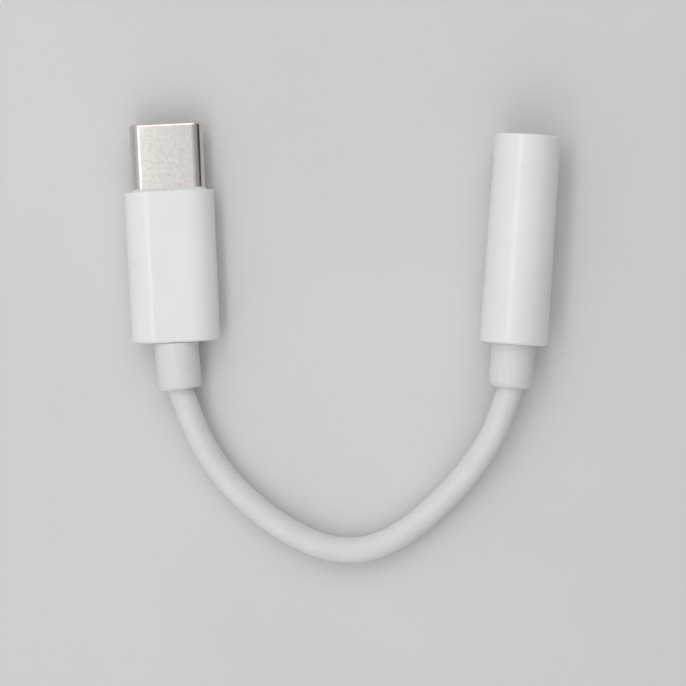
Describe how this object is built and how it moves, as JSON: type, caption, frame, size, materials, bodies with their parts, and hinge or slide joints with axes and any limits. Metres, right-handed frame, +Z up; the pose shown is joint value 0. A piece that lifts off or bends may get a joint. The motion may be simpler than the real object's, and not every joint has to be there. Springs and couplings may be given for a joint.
{
  "type": "usb-c to 3.5 mm headphone socket adapter",
  "caption": "Short white adapter lead: reversible flat metal plug in a slim moulded housing, round socket housing, and a thick flexible cord in a U between two strain reliefs.",
  "frame": {"origin": "on the surface that the adapter lies on, under the middle of the box round its two moulded ends, boots included and cord left out", "axes": "+Z up from the surface; +Y roughly along both ends, from the cord's bend to the plug's tip and the socket's mouth; +X from the plug end to the socket end"},
  "size_m": [0.049, 0.05, 0.0077],
  "materials": {
    "housing_white": "smooth moulded white polymer with a soft satin gloss",
    "boot_white": "satin white elastomer",
    "cord_white": "satin white elastomer jacket",
    "shell_steel": "drawn steel, nickel plated, fine satin",
    "contact_gold": "gold plated spring alloy",
    "spring_nickel": "nickel plated spring alloy",
    "carrier_black": "black glass filled polymer",
    "socket_white": "pale moulded polymer",
    "board_green": "green solder mask",
    "chip_black": "black moulding compound",
    "ceramic_tan": "fired ceramic with tinned ends",
    "resistor_black": "black glaze with tinned ends",
    "wire_green": "coloured wire insulation",
    "wire_red": "coloured wire insulation",
    "wire_white": "white wire insulation",
    "wire_copper": "bare copper strands"
  },
  "bodies": {
    "plug": {"plug_housing": "housing_white", "plug_front_cap": "housing_white", "usb_shell": "shell_steel", "contact_carrier": "carrier_black", "ground_spring_top": "spring_nickel", "ground_spring_bottom": "spring_nickel", "circuit_board": "board_green", "codec_chip": "chip_black", "capacitor_1": "ceramic_tan", "capacitor_2": "ceramic_tan", "capacitor_3": "ceramic_tan", "capacitor_4": "ceramic_tan", "capacitor_5": "ceramic_tan", "resistor_1": "resistor_black", "resistor_2": "resistor_black", "ferrite_bead": "resistor_black", "plug_wire_left": "wire_green", "plug_wire_right": "wire_red", "plug_wire_mic": "wire_white", "plug_wire_ground": "wire_copper", "plug_boot": "boot_white", "cord_plug_half": "cord_white"},
    "upper_contacts": {"contact_a1": "contact_gold", "contact_a4": "contact_gold", "contact_a5": "contact_gold", "contact_a6": "contact_gold", "contact_a7": "contact_gold", "contact_a9": "contact_gold", "contact_a12": "contact_gold"},
    "lower_contacts": {"contact_b1": "contact_gold", "contact_b4": "contact_gold", "contact_b5": "contact_gold", "contact_b9": "contact_gold", "contact_b12": "contact_gold"},
    "left_latch": {"latch_left": "spring_nickel"},
    "right_latch": {"latch_right": "spring_nickel"},
    "jack": {"jack_housing": "housing_white", "socket_body": "socket_white", "socket_cap": "socket_white", "jack_wire_left": "wire_green", "jack_wire_right": "wire_red", "jack_wire_mic": "wire_white", "jack_wire_ground": "wire_copper", "jack_boot": "boot_white", "cord_jack_half": "cord_white"},
    "tip_spring": {"socket_tip_spring": "spring_nickel"},
    "ring_spring": {"socket_ring_spring": "spring_nickel"},
    "sleeve_ground_spring": {"socket_ground_spring": "spring_nickel"},
    "mic_spring": {"socket_mic_spring": "spring_nickel"}
  },
  "joints": [
    {"name": "cord_flex", "type": "hinge", "parent": "plug", "child": "jack", "pos_m": [0.0007, -0.0334, 0.0015], "axis": [0, 0, 1], "range_deg": [-60, 35], "stiffness_Nm_per_rad": 0.002},
    {"name": "upper_contacts_flex", "type": "hinge", "parent": "plug", "child": "upper_contacts", "pos_m": [-0.01917, 0.00031, 0.00299], "axis": [0.9989, 0.0471, 0], "range_deg": [0, 1], "stiffness_Nm_per_rad": 0.0005},
    {"name": "lower_contacts_flex", "type": "hinge", "parent": "plug", "child": "lower_contacts", "pos_m": [-0.01917, 0.00031, 0.00221], "axis": [0.9989, 0.0471, 0], "range_deg": [-1, 0], "stiffness_Nm_per_rad": 0.0005},
    {"name": "right_latch_flex", "type": "hinge", "parent": "plug", "child": "right_latch", "pos_m": [-0.01579, 0.00267, 0.0026], "axis": [0, 0, -1], "range_deg": [0, 1.2], "stiffness_Nm_per_rad": 0.0001},
    {"name": "left_latch_flex", "type": "hinge", "parent": "plug", "child": "left_latch", "pos_m": [-0.02276, 0.00234, 0.0026], "axis": [0, 0, -1], "range_deg": [-1.2, 0], "stiffness_Nm_per_rad": 0.0001},
    {"name": "socket_tip_flex", "type": "hinge", "parent": "jack", "child": "tip_spring", "pos_m": [0.02132, -0.00433, 0.00552], "axis": [0.7055, -0.0472, -0.7071], "range_deg": [0, 3.3], "stiffness_Nm_per_rad": 0.0005},
    {"name": "socket_ring_flex", "type": "hinge", "parent": "jack", "child": "ring_spring", "pos_m": [0.02132, -0.00433, 0.00213], "axis": [-0.7055, 0.0472, -0.7071], "range_deg": [0, 2], "stiffness_Nm_per_rad": 0.0005},
    {"name": "socket_ground_flex", "type": "hinge", "parent": "jack", "child": "sleeve_ground_spring", "pos_m": [0.01793, -0.0041, 0.00213], "axis": [-0.7055, 0.0472, 0.7071], "range_deg": [0, 1.4], "stiffness_Nm_per_rad": 0.0005},
    {"name": "socket_mic_flex", "type": "hinge", "parent": "jack", "child": "mic_spring", "pos_m": [0.01793, -0.0041, 0.00552], "axis": [0.7055, -0.0472, 0.7071], "range_deg": [0, 1.1], "stiffness_Nm_per_rad": 0.0005}
  ],
  "couplings": [
    {"joint": "lower_contacts_flex", "follows": "upper_contacts_flex", "ratio": -1},
    {"joint": "left_latch_flex", "follows": "right_latch_flex", "ratio": -1}
  ]
}
